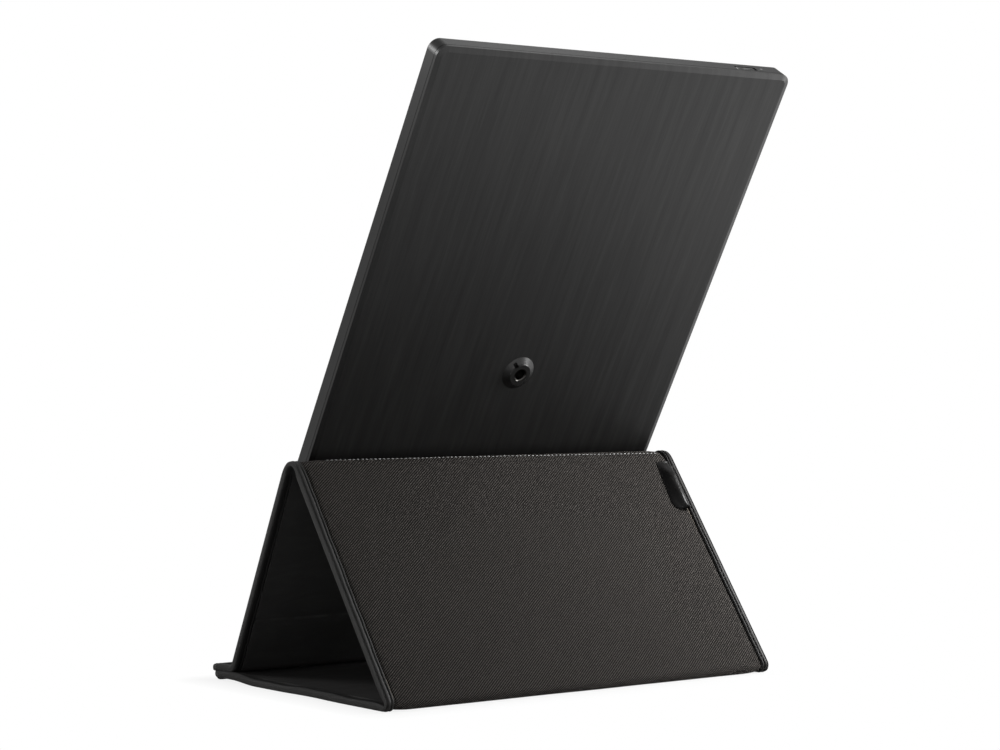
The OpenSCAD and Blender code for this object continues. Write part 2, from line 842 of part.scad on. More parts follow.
// Tapered peg on the back, pressed over its bush, with two notches in its flank
module peg() {
    notch_d = 0.7;
    color([0.06, 0.06, 0.065]) on_stand()
        translate([peg_x, 0, peg_z])
            difference() {
                rotate([-90, 0, 0])
                    rotate_extrude()
                        polygon(concat(
                            [[bush_r + shank_gap, 0], [peg_base_r, 0]],
                            [for (a = [0:15:90])
                                [peg_top_r - peg_round, peg_h - peg_round] + peg_round * dir(a)],
                            [[bush_r + shank_gap, peg_h]]
                        ));
                for (turn = [-52, 128])
                    rotate([0, turn, 0])
                        translate([peg_top_r - notch_d, peg_h / 3, -notch_w / 2])
                            cube([peg_base_r, peg_h, notch_w]);
            }
}

// Metal bush with a blind hole, held by the flange at its inner end
module peg_bush() {
    color([0.72, 0.7, 0.66]) on_stand()
        translate([peg_x, 0, peg_z])
            rotate([-90, 0, 0])
                rotate_extrude()
                    polygon([
                        [0, bush_low - flange_h], [bush_r + bush_flange, bush_low - flange_h],
                        [bush_r + bush_flange, bush_low], [bush_r, bush_low], [bush_r, peg_h],
                        [bush_bore_r + bush_chamfer, peg_h], [bush_bore_r, peg_h - bush_chamfer],
                        [bush_bore_r, bush_low], [0, bush_low]
                    ]);
}

/* ---- stand: base ---- */

module base_cover() {
    color([0.20, 0.19, 0.18])
        cover_layer(base_path);
}

module base_board() {
    color([0.35, 0.33, 0.3])
        stiffener([heel[0], 0], [-1, 0], [0, 1], board_inset, heel[0] - base_y - board_inset);
}

module base_lining() {
    color([0.09, 0.09, 0.09])
        lining_layer(base_path);
}

module base_trim() {
    color([0.15, 0.15, 0.15])
        trim(base_path);
}

module base_end() {
    color([0.15, 0.15, 0.15])
        round_end([base_y, panel_t / 2]);
}

/* ---- stand: rear panel ---- */

module rear_panel_cover() {
    color([0.22, 0.205, 0.195])
        cover_layer(rear_path);
}

module rear_panel_board() {
    color([0.35, 0.33, 0.3])
        stiffener(ridge + ridge_r * rear_out, rear_down, -rear_out, board_inset, rear_len - board_inset);
}

module rear_panel_lining() {
    color([0.09, 0.09, 0.09])
        lining_layer(rear_path);
}

module rear_panel_trim() {
    color([0.15, 0.15, 0.15])
        trim(rear_path);
}

// Elastic loop beside the rear panel's binding: half of a cone, open at both ends
module side_loop() {
    start = ridge + ridge_r * rear_out + loop_drop * rear_down;
    color([0.12, 0.12, 0.12])
        translate([0, start[0], start[1]])
            rotate([-slope, 0, 0])
                translate([-loop_foot_x + loop_r_top, 0, 0])
                    rotate([0, 0, -loop_turn])
                        rotate([-90, 0, 0])
                            rotate([0, 0, 180])
                                rotate_extrude(angle = 180)
                                    polygon([[loop_r_top - loop_t, 0], [loop_r_top, 0],
                                             [loop_r_low, loop_len], [loop_r_low - loop_t, loop_len]]);
}

/* ---- stand: folds ---- */

module ridge_fold() {
    color([0.19, 0.18, 0.17])
        fold(ridge, ridge_r, 90 - slope, 180 - lean);
}

module heel_fold() {
    color([0.19, 0.18, 0.17])
        fold(heel, panel_t, -90, 90 - slope);
}

/* ---- stand: front panel and ledge ---- */

module front_panel_cover() {
    color([0.20, 0.19, 0.18])
        cover_layer(front_path);
}

module front_upper_board() {
    color([0.35, 0.33, 0.3])
        stiffener(ridge - ridge_r * behind, -up, behind, board_inset, front_len - lower_board - crease_w);
}

module front_lower_board() {
    color([0.35, 0.33, 0.3])
        stiffener(ridge - ridge_r * behind, -up, behind, front_len - lower_board, front_len - board_inset);
}

module ledge_board() {
    color([0.35, 0.33, 0.3])
        stiffener([toe_y, ledge_top], [-1, 0], [0, -1], board_inset, toe_y - ledge_y - board_inset);
}

module front_panel_lining() {
    color([0.09, 0.09, 0.09])
        lining_layer(front_path);
}

module front_panel_trim() {
    color([0.15, 0.15, 0.15])
        trim(front_path);
}

module ledge_end() {
    color([0.15, 0.15, 0.15])
        round_end([ledge_y, ledge_top - panel_t / 2]);
}

rear_cover();
front_bezel();
screen_gasket();
lcd_glass();
diffuser_sheets();
light_guide();
lamp_strip();
screen_tray();
tray_brackets();
tray_screws();
driver_board();
driver_screws();
usb_port();
panel_board();
ribbon_cable();
button_board();
status_lens();
power_button();
brightness_button();
peg();
peg_bush();
base_cover();
base_board();
base_lining();
base_trim();
base_end();
rear_panel_cover();
rear_panel_board();
rear_panel_lining();
rear_panel_trim();
side_loop();
ridge_fold();
heel_fold();
front_panel_cover();
front_upper_board();
front_lower_board();
ledge_board();
front_panel_lining();
front_panel_trim();
ledge_end();
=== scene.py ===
"""Looks of a portable monitor that stands on its folded sleeve.

The sleeve's lengths are in millimetres and are turned into metres with MM. The camera, the lamps and
the floor use metres. X runs along the stand's ridge, the screen faces -Y and Z=0 is the surface under
the stand.
"""
import math  # noqa: E402

import bpy  # noqa: E402
import numpy as np  # noqa: E402
from mathutils import Matrix, Vector, noise  # noqa: E402

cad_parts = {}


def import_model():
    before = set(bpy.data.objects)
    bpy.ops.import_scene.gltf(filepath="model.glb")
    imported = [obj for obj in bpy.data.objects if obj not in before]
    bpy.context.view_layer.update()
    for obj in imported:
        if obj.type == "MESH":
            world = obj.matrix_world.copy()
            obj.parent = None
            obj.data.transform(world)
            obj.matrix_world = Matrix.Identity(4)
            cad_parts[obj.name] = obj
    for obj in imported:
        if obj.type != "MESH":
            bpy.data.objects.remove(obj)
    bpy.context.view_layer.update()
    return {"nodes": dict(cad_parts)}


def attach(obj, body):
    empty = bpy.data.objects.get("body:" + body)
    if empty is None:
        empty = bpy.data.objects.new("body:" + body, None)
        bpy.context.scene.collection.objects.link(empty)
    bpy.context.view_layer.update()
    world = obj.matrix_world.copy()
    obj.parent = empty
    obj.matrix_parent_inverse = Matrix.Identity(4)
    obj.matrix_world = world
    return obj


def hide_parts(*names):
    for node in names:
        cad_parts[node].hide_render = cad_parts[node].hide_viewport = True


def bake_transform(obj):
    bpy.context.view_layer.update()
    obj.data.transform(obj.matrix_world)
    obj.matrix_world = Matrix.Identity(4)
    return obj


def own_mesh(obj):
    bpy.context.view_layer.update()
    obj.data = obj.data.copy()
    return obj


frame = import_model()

MM = 0.001

# Monitor: its lean, and the middle of the peg's top in metres
LEAN = math.radians(31.6)
PEG_AT = (-0.0025, 0.02880, 0.17023)

# Sleeve: half its length along the ridge, its thickness on the panels and in the folds
HALF_LEN = 128.5
PANEL_T = 4.2
FOLD_T = 2.6

# Stand's end view, as Y and Z: centres of the folds with the radius of their outer face, and the ends
HEEL, HEEL_R = np.array([85.5, 4.2]), 4.2
RIDGE, RIDGE_R = np.array([3.306, 113.9]), 10.0
TOE, TOE_R = np.array([-74.77, 11.8]), 3.0
LEDGE_TOP, LEDGE_Y = 8.8, -89.6
BASE_Y = -86.8

# Directions in the end view: out of the monitor's back, out of the rear panel, and down along it
SLOPE = math.radians(55.582)
BEHIND = np.array([math.cos(LEAN), -math.sin(LEAN)])
REAR_OUT = np.array([math.sin(SLOPE), math.cos(SLOPE)])
REAR_DOWN = np.array([math.cos(SLOPE), -math.sin(SLOPE)])

# The sleeve's upper and lower lengths meet this far up from the heel, each with one short step there
HEEL_JOIN, RING_GAP = 1.6, 0.04

# Depths of the boards under the outer face, and how far the front boards' gap is up from the toe
BOARD_FROM, BOARD_TO = 1.1, 3.1
CREASE_UP = 31.5

# Steps of the paths on each stretch
REAR_STEPS, RIDGE_STEPS, FRONT_STEPS, TOE_STEPS, LEDGE_STEPS = 44, 20, 44, 8, 6
BASE_STEPS, HEEL_STEPS = 52, 18

# The fold along the ridge stands off its path: in the middle, per mm towards +X, and at most
SWELL_MID, SWELL_RISE, SWELL_MOST = 1.2, 0.0036, 2.0

# Thin stretches of the sleeve: middle of the heel's, then half widths at heel and ridge
THIN_HEEL_S, THIN_HEEL, THIN_RIDGE = -4.5, 7.0, 9.0

# Curl of the base's front corners: how far up, where it starts along X and Y, and its length along Y
BASE_LIFT = 1.4
CURL_X, CURL_Y, CURL_LONG = 92.0, -44.0, 26.0

# Slow wave of the base's ends behind the curl: height, middle and half width
WAVE_HIGH, WAVE_Y, WAVE_WIDE = 0.35, 14.0, 20.0

# Binding along the panels' ends: distance from the end, depth under the outer face
BINDING_OUTER = [
    (0.02, 1.9), (0.07, 1.05), (0.24, 0.40), (0.48, 0.14), (0.64, 0.26), (0.78, 0.55), (0.98, 0.55),
    (1.12, 0.26), (1.35, 0.02), (1.75, -0.09), (2.35, -0.10), (2.85, -0.03), (3.10, 0.20), (3.25, 0.58),
    (3.65, 0.58), (3.80, 0.20), (4.05, -0.04), (4.4, -0.10), (4.75, 0.02), (5.0, 0.34), (5.2, 0.8),
    (5.35, 1.2),
]
BINDING_INNER = [
    (5.4, 1.9), (5.3, 3.0), (5.6, 3.6), (5.3, 4.05), (4.6, 4.22), (4.0, 4.12), (3.6, 3.72), (3.3, 4.1),
    (2.6, 4.2), (1.6, 4.2), (0.8, 4.1), (0.3, 3.7), (0.08, 3.1), (0.02, 2.4),
]
CLOTH_EDGE = 5.4

# Columns of points across a cloth: even ones, and closer ones at these distances from its edges
CLOTH_COLUMNS = 66
EDGE_COLUMNS = np.array([0.0, 0.3, 0.6, 0.9, 1.25, 1.7, 2.3, 3.2, 4.6, 6.6, 9.0])

# Dips of the cloth along the binding: depth and reach
SEAM_DIPS = ((0.55, 1.1), (0.65, 6.0))

# Thickness of the cover, how far the lining lies below the sleeve's inner face, and how much more it
# does so between its seams
COVER_T = 0.35
LINING_BELOW, LINING_SINK = 0.12, 0.15

# Lining at the front boards' gap: depth change, place and half width of the dip and of the roll by it
CREASE_FORMS = ((-0.95, 0.0, 1.5), (0.35, 3.4, 1.6))

# Half-round ends of the panels: radius of their corners, and how far they reach into the panel
ROLL_CORNER, ROLL_IN = 3.0, 2.5

# Stitches beside the binding: pitch, length, radius, depth, distance from the end and from the folds
EDGE_PITCH, EDGE_STITCH, EDGE_R, EDGE_DEPTH = 2.7, 1.7, 0.2, 0.45
EDGE_IN, EDGE_CLEAR = 3.45, 2.0

# Stitches over the ridge: pitch, length, radius, depth, first and last X, degrees past the ridge's top
# in the middle, and how much that changes towards the ends
SEAM_PITCH, SEAM_STITCH, SEAM_R, SEAM_DEPTH = 2.75, 1.75, 0.30, -0.02
SEAM_FROM, SEAM_TO = -117, 111
SEAM_DEG, SEAM_TURN = -14, 12

# Elastic loop: length, widths of its upper and lower end, height, thickness, distance of its foot from
# the sleeve's end and of its upper end from the ridge
LOOP_LONG, LOOP_WIDTHS, LOOP_HIGH, LOOP_T = 33.0, (8.6, 11.4), 4.3, 0.8
LOOP_IN, LOOP_FROM = 5.9, 2.0

# Twill: ribs and yarns per mm, along the ridge and down the panel. Tape: pitch of its ribs, and the
# depths between which its inner lip is coloured darker
RIBS, YARNS = (0.542, 0.711), (0.95, 1.05)
TAPE_RIB, LIP_FROM, LIP_TO = 0.55, 3.3, 3.9
INNER_TAPE = (0.0120, 0.0117, 0.0115)

# Camera, fitted to the photo
CAMERA_AT = Vector((0.80247, 1.12371, 0.17082))
CAMERA_AZ, CAMERA_EL, CAMERA_ROLL = math.radians(144.155), math.radians(0.012), math.radians(-0.556)
FOCAL_MM = 87.676

# World: strength of its soft light, and of the white that it shows in reflections
SOFT_LIGHT, MIRRORED_WHITE = 0.09, 0.45

# Floor in metres: half the stand's depth, reach of the grey round it, and, as reflections show it, the
# distances over which its painted shadow of the stand lifts, and the X over which painted shade darkens
# it
STAND_HALF, GREY_REACH = 0.0897, 0.022
MIRROR_FROM, MIRROR_TO = 0.02, 0.46
SIDE_FROM, SIDE_TO = 0.16, 0.42

# Floor's disc: radius in metres, number of corners, and how far it lies under Z=0 in metres
FLOOR_R, FLOOR_SIDES, FLOOR_DOWN = 12.0, 48, 0.0002


# ---- node helpers ----

class Shader:
    """One material with short ways to add nodes and join them."""

    def __init__(self, name):
        self.material = bpy.data.materials.new(name)
        self.material.use_nodes = True
        self.tree = self.material.node_tree
        self.tree.nodes.clear()
        self.out = self.add("ShaderNodeOutputMaterial")

    def add(self, kind, inputs=None, **settings):
        made = self.tree.nodes.new(kind)
        for key, value in settings.items():
            setattr(made, key, value)
        for key, value in (inputs or {}).items():
            self.put(made, key, value)
        return made

    def put(self, made, key, value):
        socket = made.inputs[key]
        if isinstance(value, bpy.types.NodeSocket):
            self.tree.links.new(value, socket)
        else:
            socket.default_value = value

    def math(self, operation, a, b=0.0, clamp=False):
        made = self.add("ShaderNodeMath", {0: a, 1: b}, operation=operation, use_clamp=clamp)
        return made.outputs[0]

    def noise(self, vector, scale, detail=3.0, roughness=0.5, distortion=0.0):
        made = self.add("ShaderNodeTexNoise", {
            "Vector": vector, "Scale": scale, "Detail": detail, "Roughness": roughness,
            "Distortion": distortion})
        return made.outputs["Fac"]

    def ramp(self, factor, stops):
        made = self.add("ShaderNodeValToRGB", {"Fac": factor})
        elements = made.color_ramp.elements
        while len(elements) < len(stops):
            elements.new(0.5)
        for element, (place, colour) in zip(elements, stops):
            element.position = place
            element.color = grey(colour)
        return made.outputs["Color"]

    def ranged(self, value, start, end, low=0.0, high=1.0, **settings):
        """From low to high while the value goes from start to end, and no further."""
        made = self.add("ShaderNodeMapRange", {"Value": value, "From Min": start, "From Max": end,
                                               "To Min": low, "To Max": high}, **settings)
        return made.outputs["Result"]

    def spread(self, factor, low, high):
        return self.ranged(factor, 0.0, 1.0, low, high)

    def weighed(self, a, share_a, b, share_b):
        return self.math("ADD", self.math("MULTIPLY", a, share_a), self.math("MULTIPLY", b, share_b))

    def two_colours(self, factor, first, second):
        made = self.add("ShaderNodeMix", {"Factor": factor, 6: first, 7: grey(second)}, data_type="RGBA")
        return made.outputs[2]

    def parts(self, vector):
        return self.add("ShaderNodeSeparateXYZ", {0: vector}).outputs

    def waves(self, vector, scale, direction, **inputs):
        made = self.add("ShaderNodeTexWave", {"Vector": vector, "Scale": scale, **inputs},
                        bands_direction=direction)
        return made.outputs["Fac"]

    def object_coords(self):
        return self.add("ShaderNodeTexCoord").outputs["Object"]

    def cloth_coords(self):
        return self.add("ShaderNodeAttribute", attribute_name="cloth").outputs["Vector"]

    def mapped(self, vector, scale=(1, 1, 1), rotation=(0, 0, 0), location=(0, 0, 0)):
        made = self.add("ShaderNodeMapping", {
            "Vector": vector, "Scale": scale, "Rotation": rotation, "Location": location})
        return made.outputs["Vector"]

    def bump(self, height, strength, distance):
        made = self.add("ShaderNodeBump", {"Height": height, "Strength": strength, "Distance": distance})
        return made.outputs["Normal"]

    def surface(self, colour, roughness, normal=None, **extra):
        values = {"Base Color": colour, "Roughness": roughness}
        if normal is not None:
            values["Normal"] = normal
        values.update({key.replace("_", " "): value for key, value in extra.items()})
        made = self.add("ShaderNodeBsdfPrincipled", values)
        self.put(self.out, "Surface", made.outputs[0])
        return self.material


def grey(colour):
    """A ramp or socket colour from a number or three numbers."""
    if isinstance(colour, (int, float)):
        colour = (colour, colour, colour)
    return (*colour, 1.0)


def paint(node_names, material):
    """Gives CAD pieces one material."""
    for name in node_names:
        node = frame["nodes"][name]
        if not node.material_slots:
            node.data.materials.append(material)
        for place in node.material_slots:
            place.material = material


# ---- materials: monitor ----

def upright(shader):
    """Coordinates in the monitor's own upright frame, in metres."""
    return shader.mapped(shader.object_coords(), rotation=(LEAN, 0, 0))


def brushed_black():
    """Satin black with a faint upright grain."""
    s = Shader("brushed_black")
    local = upright(s)
    fine = s.noise(s.mapped(local, (1500, 2, 40)), 1.0, 4.0, 0.6)
    broad = s.noise(s.mapped(local, (230, 2, 12), location=(3.1, 0, 1.7)), 1.0, 3.0, 0.55)
    cloud = s.noise(s.mapped(local, (9, 9, 5)), 1.0, 2.0)
    streak = s.weighed(fine, 0.4, broad, 0.6)
    colour = s.ramp(streak, [(0.36, (0.0032, 0.0031, 0.0030)), (0.50, (0.0056, 0.0054, 0.0052)),
                             (0.64, (0.0095, 0.0092, 0.0089))])
    rough = s.math("ADD", s.spread(streak, 0.44, 0.36), s.spread(cloud, -0.02, 0.02))
    normal = s.bump(streak, 0.10, 0.00014)
    return s.surface(colour, rough, normal, Specular_IOR_Level=s.spread(streak, 0.32, 0.68))


def moulded_black(name, low, high, rough, grain=2600):
    """Black plastic with a fine moulded grain."""
    s = Shader(name)
    local = upright(s)
    fine = s.noise(local, grain, 2.0)
    cloud = s.noise(local, 45, 3.0)
    colour = s.ramp(cloud, [(0.3, low), (0.7, high)])
    return s.surface(colour, s.spread(fine, rough - 0.05, rough + 0.06), s.bump(fine, 0.16, 0.00008))


def screen_glass():
    """Dark glass with faint smears."""
    s = Shader("screen_glass")
    local = upright(s)
    smear = s.noise(s.mapped(local, (14, 2, 5)), 1.0, 3.0, distortion=0.6)
    colour = s.ramp(smear, [(0.3, (0.0035, 0.0037, 0.0045)), (0.7, (0.0060, 0.0062, 0.0075))])
    return s.surface(colour, s.spread(smear, 0.05, 0.10), Specular_IOR_Level=0.4)


def turned_metal(name, colour_low, colour_high, centre, rough=0.3):
    """Bare metal with fine rings round an axis out of the monitor's back through the centre."""
    s = Shader(name)
    local = s.mapped(s.object_coords(), location=tuple(-v for v in centre))
    turned = s.mapped(local, rotation=(LEAN, 0, 0))
    rings = s.add("ShaderNodeTexWave", {"Vector": turned, "Scale": 900, "Distortion": 1.5, "Detail": 2.0},
                  wave_type="RINGS", rings_direction="Y").outputs["Fac"]
    grain = s.noise(local, 1500, 2.0)
    mixed = s.weighed(rings, 0.6, grain, 0.4)
    colour = s.ramp(mixed, [(0.2, colour_low), (0.8, colour_high)])
    return s.surface(colour, s.spread(mixed, rough - 0.06, rough + 0.1), s.bump(mixed, 0.15, 0.00005),
                     Metallic=1.0)


def threaded_bush():
    """Dark plated metal with the rings of a thread."""
    s = Shader("threaded_bush")
    local = upright(s)
    turns = s.waves(local, 247.0, "Y")
    grain = s.noise(local, 1500, 2.0)
    colour = s.ramp(grain, [(0.2, (0.045, 0.043, 0.041)), (0.8, (0.085, 0.082, 0.078))])
    return s.surface(colour, s.spread(grain, 0.20, 0.30), s.bump(turns, 0.6, 0.0003), Metallic=1.0)


def sheet_metal(name, low, high, rough=0.34):
    """Bright sheet with faint lines from rolling."""
    s = Shader(name)
    local = upright(s)
    rolled = s.noise(s.mapped(local, (60, 60, 1400)), 1.0, 3.0)
    colour = s.ramp(rolled, [(0.3, low), (0.7, high)])
    return s.surface(colour, s.spread(rolled, rough - 0.06, rough + 0.08), s.bump(rolled, 0.1, 0.00005),
                     Metallic=1.0)


def circuit_board():
    """Green board with a fine net of tracks."""
    s = Shader("circuit_board")
    local = upright(s)
    lines = s.add("ShaderNodeTexBrick", {
        "Vector": s.mapped(local, rotation=(math.pi / 2, 0, 0)), "Scale": 320.0,
        "Color1": grey((0.008, 0.045, 0.020)), "Color2": grey((0.010, 0.060, 0.026)),
        "Mortar": grey((0.020, 0.110, 0.045)), "Mortar Size": 0.03})
    return s.surface(lines.outputs["Color"], s.spread(s.noise(local, 300), 0.34, 0.5),
                     s.bump(lines.outputs["Fac"], 0.2, 0.00005))


def speckled(name, low, high, scale, rough, bump=0.2, depth=0.0001):
    """A plain material with fine grain, for foam, sheets and boards that lie inside."""
    s = Shader(name)
    local = s.object_coords()
    fine = s.noise(local, scale, 3.0)
    colour = s.ramp(fine, [(0.3, low), (0.7, high)])
    return s.surface(colour, s.spread(fine, rough - 0.05, rough + 0.05), s.bump(fine, bump, depth))


def ribbon():
    """Amber film with copper tracks."""
    s = Shader("ribbon")
    local = upright(s)
    tracks = s.waves(local, 320.0, "X")
    colour = s.ramp(tracks, [(0.35, (0.30, 0.15, 0.04)), (0.65, (0.42, 0.22, 0.07))])
    return s.surface(colour, s.spread(tracks, 0.3, 0.42), s.bump(tracks, 0.2, 0.00005))


def monitor_materials():
    """Dresses the CAD pieces of the monitor, and the boards inside the sleeve."""
    moulded = moulded_black("moulded_black", (0.0085, 0.0083, 0.0081), (0.0120, 0.0117, 0.0114), 0.40)
    steel = turned_metal("screw_steel", (0.26, 0.25, 0.24), (0.46, 0.44, 0.42), PEG_AT)
    board = circuit_board()
    paint(["rear_cover"], brushed_black())
    paint(["front_bezel"], moulded)
    paint(["lcd_glass"], screen_glass())
    paint(["screen_gasket"], speckled("foam", 0.010, 0.022, 2500, 0.9, 0.5, 0.0002))
    paint(["diffuser_sheets"], speckled("diffuser", 0.72, 0.80, 900, 0.5))
    paint(["light_guide"], speckled("light_guide", (0.70, 0.74, 0.76), (0.78, 0.82, 0.84), 700, 0.15))
    paint(["lamp_strip"], speckled("lamps", (0.75, 0.70, 0.42), (0.82, 0.78, 0.55), 1200, 0.35))
    paint(["screen_tray"], sheet_metal("tray_metal", 0.42, 0.52))
    paint(["tray_brackets"], sheet_metal("bracket_metal", 0.36, 0.46))
    paint(["tray_screws", "driver_screws"], steel)
    paint(["peg_bush"], threaded_bush())
    paint(["driver_board", "panel_board", "button_board"], board)
    paint(["usb_port"], sheet_metal("socket_shell", 0.70, 0.86, 0.30))
    paint(["ribbon_cable"], ribbon())
    paint(["status_lens"], speckled("light_lens", 0.50, 0.58, 1500, 0.2, 0.1))
    paint(["power_button", "brightness_button"],
          moulded_black("button_black", (0.012, 0.012, 0.012), (0.018, 0.018, 0.018), 0.34, 3200))
    paint(["peg"],
          moulded_black("peg_black", (0.0060, 0.0058, 0.0056), (0.0090, 0.0087, 0.0084), 0.30, 2200))
    paint(["base_board", "rear_panel_board", "front_upper_board", "front_lower_board", "ledge_board"],
          speckled("stiffener", (0.20, 0.17, 0.13), (0.28, 0.24, 0.19), 1400, 0.85))


# ---- materials: sleeve ----

def twill():
    """Dark warm twill: diagonal ribs broken into yarns, with flecks and slow changes of tone."""
    s = Shader("twill")
    cloth = s.cloth_coords()
    wobble = s.noise(s.mapped(cloth, (0.05, 0.05, 0.05)), 1.0, 2.0)
    parts = s.parts(cloth)
    along, down = parts["X"], parts["Y"]
    rib_place = s.weighed(along, RIBS[0], down, RIBS[1])
    rib_place = s.math("ADD", rib_place, s.math("MULTIPLY", wobble, 0.5))
    rib = s.math("FRACT", rib_place)
    rib = s.math("ABSOLUTE", s.math("SUBTRACT", s.math("MULTIPLY", rib, 2.0), 1.0))
    yarn_place = s.math("SUBTRACT", s.math("MULTIPLY", along, YARNS[0]),
                        s.math("MULTIPLY", down, YARNS[1]))
    yarn = s.math("SINE", s.math("MULTIPLY", yarn_place, 2 * math.pi))
    yarn = s.spread(s.math("ADD", s.math("MULTIPLY", yarn, 0.5), 0.5), 0.25, 1.0)
    weave = s.math("MULTIPLY", rib, yarn)
    flecks = s.noise(s.mapped(cloth, (1.5, 1.3, 1.0)), 1.0, 3.0, 0.7)
    cloud = s.noise(s.mapped(cloth, (0.016, 0.02, 0.016)), 1.0, 3.0)
    tone = s.weighed(weave, 0.62, flecks, 0.46)
    colour = s.ramp(tone, [(0.14, (0.0030, 0.0027, 0.0026)), (0.38, (0.0130, 0.0119, 0.0112)),
                           (0.60, (0.0680, 0.0625, 0.0580)), (0.82, (0.2600, 0.2390, 0.2220))])
    toned = s.two_colours(s.spread(cloud, 0.0, 0.22), colour, (0.022, 0.0200, 0.0185))
    return s.surface(toned, 0.88, s.bump(weave, 0.26, 0.0003), Specular_IOR_Level=0.05)


def lining_cloth():
    """Smooth near-black lining with faint brushed nap and random rub marks, and a painted highlight:
    broken lighter patches along the front boards' gap.
    """
    s = Shader("lining_cloth")
    cloth = s.cloth_coords()
    nap = s.noise(s.mapped(cloth, (2.6, 1.1, 1.0)), 1.0, 4.0, 0.65)
    rubs = s.noise(s.mapped(cloth, (0.03, 0.09, 0.03), location=(4, 1, 0)), 1.0, 4.0, 0.6, 0.8)
    colour = s.ramp(nap, [(0.3, (0.0230, 0.0225, 0.0222)), (0.7, (0.0345, 0.0337, 0.0334))])
    # Painted highlight: broken lighter patches on the crease at the front boards' gap, where light
    # catches the fold
    from_crease = s.math("ABSOLUTE", s.math("SUBTRACT", s.parts(cloth)["Y"], CREASE_S))
    on_crease = s.ranged(from_crease, 0.3, 1.2, 1.0, 0.0)
    broken = s.noise(s.mapped(cloth, (0.045, 0.0, 0.0)), 1.0, 2.0, 0.5)
    highlight_patches = s.spread(s.math("SUBTRACT", broken, 0.42, clamp=True), 0.0, 6.0)
    crease_highlight = s.math("MULTIPLY", on_crease, highlight_patches)
    marks = s.spread(s.math("SUBTRACT", rubs, 0.45, clamp=True), 0.0, 1.2)
    lighter = s.two_colours(s.math("MAXIMUM", marks, crease_highlight), colour, (0.052, 0.051, 0.050))
    return s.surface(lighter, s.spread(rubs, 0.80, 0.62), s.bump(nap, 0.3, 0.00012),
                     Specular_IOR_Level=0.15)


def bound_edge(name, low, high, rough=0.52):
    """Smooth folded binding tape with a fine cross rib."""
    s = Shader(name)
    cloth = s.cloth_coords()
    parts = s.parts(cloth)
    ribs = s.math("SINE", s.math("MULTIPLY", parts["Y"], 2 * math.pi / TAPE_RIB))
    fibre = s.noise(s.mapped(cloth, (3.0, 0.8, 2.0)), 1.0, 3.0)
    worn = s.noise(s.mapped(cloth, (0.2, 0.035, 0.2)), 1.0, 3.0)
    tone = s.weighed(fibre, 0.6, worn, 0.4)
    colour = s.ramp(tone, [(0.3, low), (0.7, high)])
    colour = s.two_colours(s.ranged(parts["Z"], LIP_FROM, LIP_TO), colour, INNER_TAPE)
    height = s.math("ADD", s.math("MULTIPLY", ribs, 0.15), fibre)
    return s.surface(colour, s.spread(tone, rough + 0.07, rough - 0.05), s.bump(height, 0.22, 0.00012),
                     Specular_IOR_Level=0.2)


def thread(name, low, high):
    """Twisted sewing thread."""
    s = Shader(name)
    twist = s.waves(s.object_coords(), 900.0, "DIAGONAL", Distortion=1.0)
    colour = s.ramp(twist, [(0.2, low), (0.8, high)])
    return s.surface(colour, s.spread(twist, 0.5, 0.7), s.bump(twist, 0.4, 0.0001))


# ---- sleeve: paths in the end view ----

def straight(start, end, normal, count):
    """Stations from start to end (the end left out): Y, Z and the outward normal."""
    return [(*(start + (end - start) * i / count), *normal) for i in range(count)]


def arc(centre, radius, from_deg, to_deg, count, outward=1):
    """Stations round a centre (the end left out). With outward=-1 their normals point to the centre."""
    made = []
    for i in range(count):
        angle = math.radians(from_deg + (to_deg - from_deg) * i / count)
        ray = np.array([math.cos(angle), math.sin(angle)])
        made.append((*(centre + radius * ray), *(outward * ray)))
    return made


def upper_path():
    """Outer face up the rear panel, over the ridge, down the front panel and out along the ledge."""
    rear_low, rear_high = HEEL + HEEL_R * REAR_OUT, RIDGE + RIDGE_R * REAR_OUT
    front_high = RIDGE - RIDGE_R * BEHIND
    front_low = TOE + TOE_R * BEHIND
    ledge_in, ledge_out = np.array([TOE[0], LEDGE_TOP]), np.array([LEDGE_Y, LEDGE_TOP])
    lean_deg, slope_deg = math.degrees(LEAN), math.degrees(SLOPE)
    join = rear_low - HEEL_JOIN * REAR_DOWN
    path = [(*join, *REAR_OUT)] + straight(join - RING_GAP * REAR_DOWN, rear_high, REAR_OUT, REAR_STEPS)
    path += arc(RIDGE, RIDGE_R, 90 - slope_deg, 180 - lean_deg, RIDGE_STEPS)
    path += straight(front_high, front_low, -BEHIND, FRONT_STEPS)
    path += arc(TOE, TOE_R, -lean_deg, -90, TOE_STEPS, outward=-1)
    path += straight(ledge_in, ledge_out, np.array([0.0, 1.0]), LEDGE_STEPS)
    path.append((*ledge_out, 0.0, 1.0))
    return np.array(path)


def lower_path():
    """Outer face from the base's front end back along the table and round the heel."""
    slope_deg = math.degrees(SLOPE)
    front, back = np.array([BASE_Y, 0.0]), np.array([HEEL[0], 0.0])
    path = straight(front, back, np.array([0.0, -1.0]), BASE_STEPS)
    path += arc(HEEL, HEEL_R, -90, 90 - slope_deg, HEEL_STEPS)
    for rise in (0.0, HEEL_JOIN / 2, HEEL_JOIN - RING_GAP, HEEL_JOIN):
        path.append((*(HEEL + HEEL_R * REAR_OUT - rise * REAR_DOWN), *REAR_OUT))
    return np.array(path)


def arc_lengths(path):
    """Distance along the path at each of its points."""
    steps = np.linalg.norm(np.diff(path[:, :2], axis=0), axis=1)
    return np.concatenate([[0.0], np.cumsum(steps)])


def smooth(t):
    """A soft step from 0 to 1 while t goes from 0 to 1."""
    t = np.clip(t, 0.0, 1.0)
    return t * t * (3 - 2 * t)


UPPER = upper_path()
LOWER = lower_path()
UPPER_S = arc_lengths(UPPER) + HEEL_JOIN
LOWER_S = arc_lengths(LOWER) - arc_lengths(LOWER)[-1] + HEEL_JOIN

